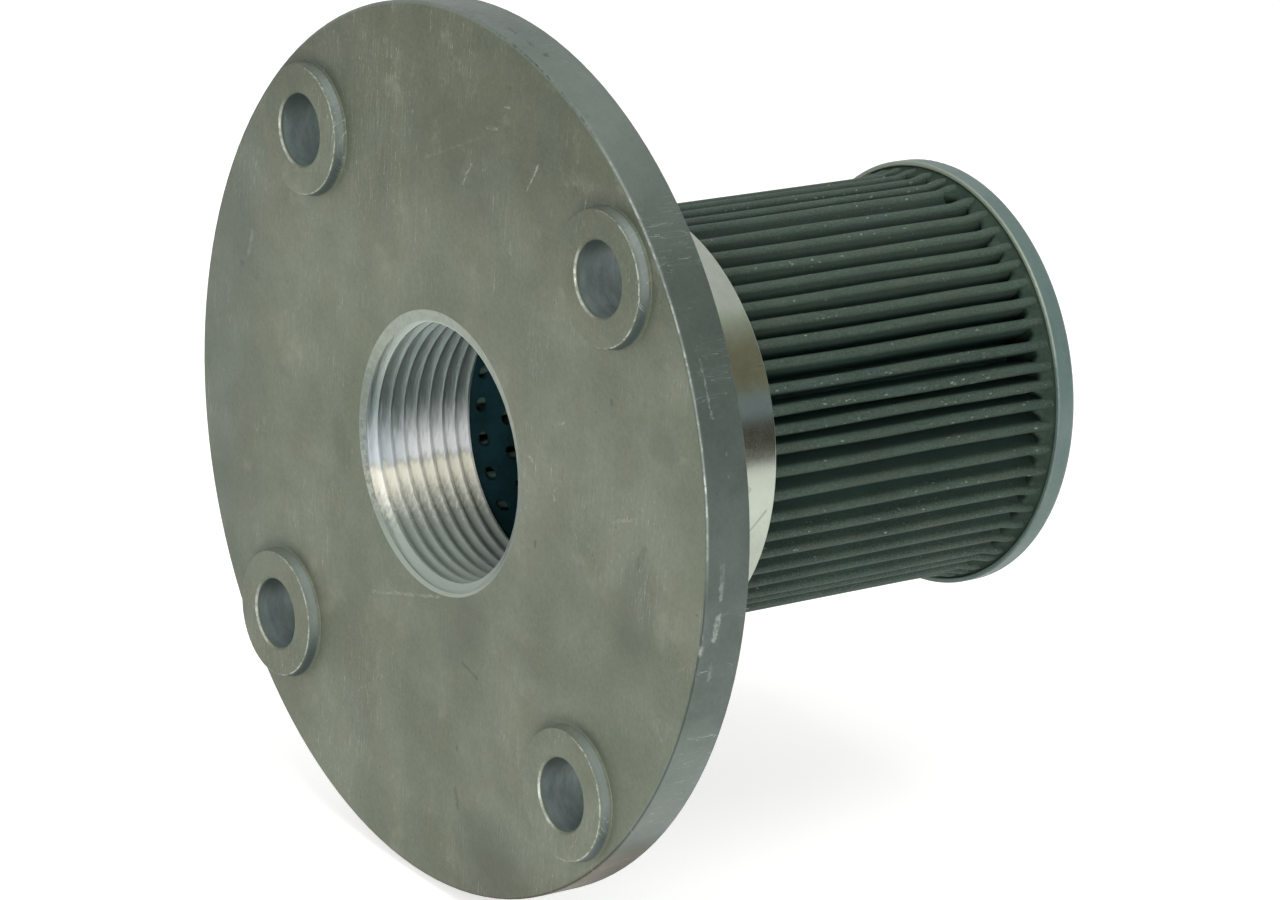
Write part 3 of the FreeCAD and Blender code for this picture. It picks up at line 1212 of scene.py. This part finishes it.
@dataclass(frozen=True)
class PleatPack:
    """The folded wire cloth: even folds at the root, whose crests lean a little. Leans are degrees."""

    crest_radius: float = 0.0317
    root_radius: float = 0.0215
    cloth: float = 0.0005
    crest_round: float = 0.00055
    crest_steps: int = 4
    root_round: float = 0.0005
    root_steps: int = 2
    start: float = 0.0120
    end: float = 0.0854
    flare_start: float = 0.07955
    flare_end: float = 0.08205
    flare_rise: float = 0.0006
    crisp_angle: float = 50.0
    stretch: float = 0.0065
    first_lean_number: int = -5
    leans: tuple[float, ...] = (-0.2, 0.2, 0.3, 0.4, 0.9, 1.6, 1.7, 0.8, -0.4, -0.5, -0.2, -0.5, -1.1, -1.3, -1.7,
                                -1.8, -1.3, -1.1)
    other_lean: float = 0.9
    wander: float = 0.16
    wander_rate: float = 150.0
    lowest_crest: float = -0.00018
    held_length: float = 0.012
    seed: int = 7

    @staticmethod
    def bend(centre: Vector, radius: float, first: float, last: float, steps: int) -> list[tuple[float, float]]:
        """Returns the corners of a bend about a centre, from the first angle to the last.

        Args:
            centre: The bend's centre.
            radius: Its radius.
            first: Its first angle, in radians.
            last: Its last angle.
            steps: How many edges it has.

        Returns:
            The corners.
        """
        angles = [first + (last - first) * number / steps for number in range(steps + 1)]
        return [(centre.x + radius * math.cos(angle), centre.y + radius * math.sin(angle)) for angle in angles]

    def half_fold(self) -> list[tuple[float, float]]:
        """Works out half of one fold's middle line.

        Returns:
            The corners from the crest to the root, in the plane across the axis.
        """
        half_pitch = math.pi / FOLD_COUNT
        crest = Vector((self.crest_radius - self.crest_round - self.cloth / 2, 0.0))
        root_reach = self.root_radius + self.root_round + self.cloth / 2
        root = Vector((root_reach * math.cos(half_pitch), root_reach * math.sin(half_pitch)))
        across = root - crest
        share = (self.crest_round + self.root_round) / across.length
        wall = across.normalized()
        square = Vector((-wall.y, wall.x))
        if square.y < 0:
            square.negate()
        normal = wall * share + square * math.sqrt(1 - share * share)
        middle = (crest + normal * self.crest_round).lerp(root - normal * self.root_round, 0.5)
        touch = math.atan2(normal.y, normal.x)
        opening = math.atan2(-normal.y, -normal.x)
        return (self.bend(crest, self.crest_round, 0.0, touch, self.crest_steps) + [tuple(middle)]
                + self.bend(root, self.root_round, opening, half_pitch - math.pi, self.root_steps))

    def fold(self) -> Object:
        """Builds one fold of the cloth with its UV map.

        Returns:
            The fold, from root to root along the whole length.
        """
        half = self.half_fold()
        line = [(x, -z) for x, z in reversed(half[1:])] + half
        piece = draw_chain("fold", [(x, self.start, z) for x, z in line])
        bpy.ops.mesh.select_all(action="SELECT")
        steps = round((self.flare_start - self.start) / self.stretch)
        stations = [self.start + (self.flare_start - self.start) * number / steps for number in range(steps + 1)]
        stations += [(self.flare_start + self.flare_end) / 2, self.flare_end, self.end]
        for before, after in zip(stations, stations[1:]):
            bpy.ops.mesh.extrude_edges_move(TRANSFORM_OT_translate={"value": (0.0, after - before, 0.0)})
        leave_edit()
        self.map_cloth(piece, line)
        for least in (self.flare_start + SAME_PLACE, self.flare_end - SAME_PLACE):
            choose(piece, lambda place: place.y > least and place.x > self.crest_radius - 3 * self.crest_round)
            bpy.ops.transform.translate(value=(self.flare_rise / 2, 0.0, 0.0))
            leave_edit()
        return piece

    def map_cloth(self, piece: Object, line: Sequence[tuple[float, float]]) -> None:
        """Lays the UV map, in metres, along the fold's line and along the axis.

        Args:
            piece: The straight fold.
            line: The fold's corners across the axis.
        """
        reach = [0.0]
        for before, after in zip(line, line[1:]):
            reach.append(reach[-1] + math.dist(before, after))
        mesh = piece.data
        layer = mesh.uv_layers.new(name="cloth")
        for loop in mesh.loops:
            place = mesh.vertices[loop.vertex_index].co
            nearest = min(range(len(line)), key=lambda number: math.dist(line[number], (place.x, place.z)))
            layer.data[loop.index].uv = (reach[nearest], place.y)

    def lean(self, pack: Object) -> None:
        """Leans the crests of the whole ring and lets them wander a little along their length.

        Args:
            pack: The whole ring of folds.
        """
        draw = random.Random(self.seed)
        leans = [draw.uniform(-self.other_lean, self.other_lean) for _ in range(FOLD_COUNT)]
        for place, lean in enumerate(self.leans):
            leans[(self.first_lean_number + place) % FOLD_COUNT] = lean
        phases = [draw.uniform(0.0, FULL_TURN) for _ in range(FOLD_COUNT)]
        heights = [draw.uniform(self.lowest_crest, 0.0) for _ in range(FOLD_COUNT)]
        root = self.root_radius + 2 * self.cloth
        for corner in pack.data.vertices:
            radius = about_axis(corner.co)
            share = (radius - root) / (self.crest_radius - root)
            if share <= 0:
                continue
            number = round(folds_round(corner.co)) % FOLD_COUNT
            held = min(1.0, max(0.0, (self.end - corner.co.y) / self.held_length))
            wander = self.wander * math.sin(phases[number] + corner.co.y * self.wander_rate) * held
            turn = math.radians(share * (leans[number] + wander))
            placed = Matrix.Rotation(-turn, 3, "Y") @ corner.co
            scale = 1 + share * heights[number] * held / radius
            corner.co = (placed.x * scale, placed.y, placed.z * scale)

    def build(self, material: Material) -> None:
        """Folds the cloth round the tube and dresses it.

        Args:
            material: The piece's finish.
        """
        fold = self.fold()
        first = math.radians(FIRST_CREST)
        folds = [copy_turned(fold, first + number * (FULL_TURN / FOLD_COUNT)) for number in range(FOLD_COUNT)]
        bpy.data.objects.remove(fold)
        pack = join("pleated_cloth", folds)
        mend(pack)
        self.lean(pack)
        apply_modifier(pack, "SOLIDIFY", thickness=self.cloth, offset=0.0, use_even_offset=True)
        smooth(pack, self.crisp_angle)
        settle(pack, material, "pleat_pack")


@dataclass(frozen=True)
class FarAdhesive:
    """The adhesive in the end cap, which climbs up the folds in a scalloped edge."""

    tube_radius: float = 0.0211
    rim_radius: float = 0.03165
    cap_inner_radius: float = 0.0326
    floor: float = 0.0861
    surface: float = 0.0831
    lip: float = 0.0833
    climb: float = 0.0012
    scallop: float = 0.0022
    least_rise: float = 0.4
    most_rise: float = 1.3
    seed: int = 11
    faces_each: int = 6
    crisp_angle: float = 60.0

    def build(self, material: Material) -> None:
        """Turns the bed, scallops its edge and dresses it.

        Args:
            material: The piece's finish.
        """
        rim = self.rim_radius
        edge = self.surface - self.climb
        profile = [(self.tube_radius, self.floor), (self.tube_radius, self.surface), (rim - 0.0062, self.surface),
                   (rim - 0.0040, self.surface - 0.0004), (rim - 0.0024, edge + 0.0007), (rim - 0.0010, edge),
                   (rim - 0.0004, edge), (rim, edge + 0.0005), (rim + 0.0001, self.lip - 0.0006),
                   (self.cap_inner_radius, self.lip + 0.0003), (self.cap_inner_radius, self.floor - 0.0004),
                   (self.cap_inner_radius - 0.0004, self.floor)]
        bed = turn_form("end_adhesive", profile, FOLD_COUNT * self.faces_each)
        draw = random.Random(self.seed)
        rise = [draw.uniform(self.least_rise, self.most_rise) for _ in range(FOLD_COUNT)]
        for corner in bed.data.vertices:
            if corner.co.y > self.lip - 0.0007 or about_axis(corner.co) < rim - 0.0041:
                continue
            folds = folds_round(corner.co)
            from_crest = abs(folds - round(folds)) * 2
            corner.co.y -= self.scallop * rise[round(folds) % FOLD_COUNT] * (1 - from_crest) ** 1.5
        smooth(bed, self.crisp_angle)
        settle(bed, material, "far_adhesive")


@dataclass(frozen=True)
class Lamp:
    """A soft square lamp that points at the object, with its side in metres and its power in watts."""

    name: str
    place: Place
    side: float
    power: float
    colour: Place

    def hang(self) -> None:
        """Hangs the lamp in its place."""
        light = bpy.data.lights.new(self.name, "AREA")
        light.size = self.side
        light.energy = self.power
        light.color = self.colour
        lamp = add_object(self.name, light)
        lamp.location = self.place
        lamp.rotation_euler = (-Vector(self.place)).to_track_quat("-Z", "Y").to_euler()


LAMPS = (
    Lamp("key_lamp", (-0.25, -0.9, 0.5), 0.6, 1.5, (1.0, 0.99, 0.96)),
    Lamp("low_lamp", (0.95, -0.75, 0.12), 0.35, 6.5, (1.0, 0.98, 0.94)),
    Lamp("side_lamp", (1.3, 0.25, 0.1), 0.5, 2.0, (0.95, 0.98, 1.0)),
    Lamp("top_lamp", (0.4, -0.2, 1.3), 0.8, 7.5, (0.97, 1.0, 0.99)),
)


@dataclass(frozen=True)
class Studio:
    """The floor, the soft light and the camera."""

    floor_level: float = -0.0675
    floor_side: float = 6.0
    floor_glow: float = 0.6
    camera_place: Place = (0.580230, -0.407278, 0.252463)
    camera_right: Place = (0.59108226, 0.80294421, 0.07682683)
    camera_up: Place = (-0.32631292, 0.15092954, 0.93313459)
    camera_back: Place = (0.73765958, -0.57662888, 0.35122284)
    lens: float = 143.2816
    sensor: float = 36.0
    shift_x: float = -0.0625
    shift_y: float = 0.078125
    ambient: float = 0.47
    glossy_ambient: float = 0.8
    card_distance: float = 0.26
    card_length: float = 1.6
    card_shades: tuple[tuple[float, Colour], ...] = (
        (-0.038, tone(72, 66, 56)), (0.056, tone(70, 62, 52)), (0.076, tone(140, 152, 162)),
        (0.125, tone(144, 157, 166)), (0.150, tone(134, 130, 107)), (0.330, tone(138, 133, 116)),
        (0.480, tone(168, 171, 155)), (0.800, tone(214, 223, 211)))

    def lay_floor(self) -> None:
        """Lays a pale floor that the camera sees as white, with the object's shadow on it."""
        take()
        bpy.ops.mesh.primitive_plane_add(size=self.floor_side, location=(0.0, 0.0, self.floor_level))
        floor = bpy.context.object
        floor.name = "floor"
        material = new_material("floor_white")
        recipe = Recipe(material.node_tree)
        glow = recipe.rays("Camera", "Glossy", "Transmission") * self.floor_glow
        feeds = {"Base Color": tone(226, 226, 222), "Roughness": 0.9, "Specular IOR Level": 0.0,
                 "Emission Color": WHITE, "Emission Strength": glow}
        recipe.node("OutputMaterial", {"Surface": recipe.run("BsdfPrincipled", feeds)})
        floor.data.materials.append(material)

    def stand_card(self) -> None:
        """Stands a shaded card beside the object, which shows only in its bright metal."""
        take()
        bpy.ops.mesh.primitive_plane_add(size=1.0, location=ORIGIN)
        card = bpy.context.object
        card.name = "shaded_card"
        low = self.card_shades[0][0]
        high = self.card_shades[-1][0]
        bpy.ops.object.mode_set(mode="EDIT")
        bpy.ops.mesh.select_all(action="SELECT")
        bpy.ops.transform.resize(value=(high - low, self.card_length, 1.0))
        bpy.ops.transform.rotate(value=math.pi / 2, orient_axis="Y", center_override=ORIGIN)
        bpy.ops.transform.translate(value=(self.card_distance, self.card_length / 2, (low + high) / 2))
        leave_edit()
        material = new_material("card_shades")
        recipe = Recipe(material.node_tree)
        height = recipe.run("TexCoord", {}, "Object").apart()[2]
        glow = recipe.run("Emission", {"Color": recipe.graded(height, self.card_shades)})
        recipe.node("OutputMaterial", {"Surface": glow})
        card.data.materials.append(material)
        for ray in ("camera", "diffuse", "shadow", "transmission"):
            setattr(card, f"visible_{ray}", False)

    def hang_sky(self) -> None:
        """Surrounds the object with even light that the camera sees as white."""
        world = bpy.data.worlds.new("studio")
        bpy.context.scene.world = world
        world.use_nodes = True
        recipe = Recipe(world.node_tree)
        background = world.node_tree.nodes["Background"]
        strength = recipe.rays("Glossy").between(self.ambient, self.glossy_ambient)
        recipe.feed(background.inputs["Color"], WHITE)
        recipe.feed(background.inputs["Strength"], recipe.rays("Camera", "Transmission").between(strength, 1.0))

    def set_camera(self) -> None:
        """Sets the camera where the photograph was taken from."""
        camera = add_object("camera", bpy.data.cameras.new("camera"))
        turn = Matrix((self.camera_right, self.camera_up, self.camera_back)).transposed()
        camera.matrix_world = Matrix.Translation(self.camera_place) @ turn.to_4x4()
        camera.data.sensor_fit = "HORIZONTAL"
        camera.data.sensor_width = self.sensor
        camera.data.lens = self.lens
        camera.data.shift_x = self.shift_x
        camera.data.shift_y = self.shift_y
        camera.data.clip_start = 0.01
        bpy.context.scene.camera = camera

    def build(self) -> None:
        """Builds the whole studio."""
        self.lay_floor()
        self.hang_sky()
        self.stand_card()
        for lamp in LAMPS:
            lamp.hang()
        self.set_camera()
        bpy.context.scene.view_settings.view_transform = "Standard"
        LOG.info("studio: floor, sky, card, lamps and camera")


def main() -> None:
    """Builds the part piece by piece, then the studio."""
    logging.basicConfig(level=logging.INFO, format="%(name)s: %(message)s")
    groups = (make_mottle(), make_specks(), make_scratches(), make_grain(), make_stroke())
    effects = {group.name: group for group in groups}
    cast = CastFinish("cast_aluminium_skin", effects).make()
    adhesive = CoatFinish("cured_adhesive", effects, patch=0.35, fine=1.6, dark=tone(26, 44, 36),
                          light=tone(48, 64, 52), rough=(0.75, 0.6), metal=0.0, shine=0.25, grain=0.8,
                          depth=0.0001, strength=0.6).make()
    coat = CoatFinish("blue_green_coat", effects, patch=0.2, fine=1.5, dark=tone(20, 50, 54),
                      light=tone(40, 76, 84), rough=(0.5, 0.36), metal=0.3, shine=0.5, grain=1.0,
                      depth=0.00005, strength=0.4).make()
    FlangeHead().build(cast)
    dress("element_sleeve", SleeveFinish("bright_plate", effects).make())
    CoreTube().build(coat)
    PleatPack().build(MeshFinish("woven_wire_cloth", effects).make())
    dress("near_adhesive", adhesive)
    FarAdhesive().build(adhesive)
    dress("far_cap", CapFinish("grey_cap_coat", effects).make())
    Studio().build()


if __name__ == "__main__":
    main()
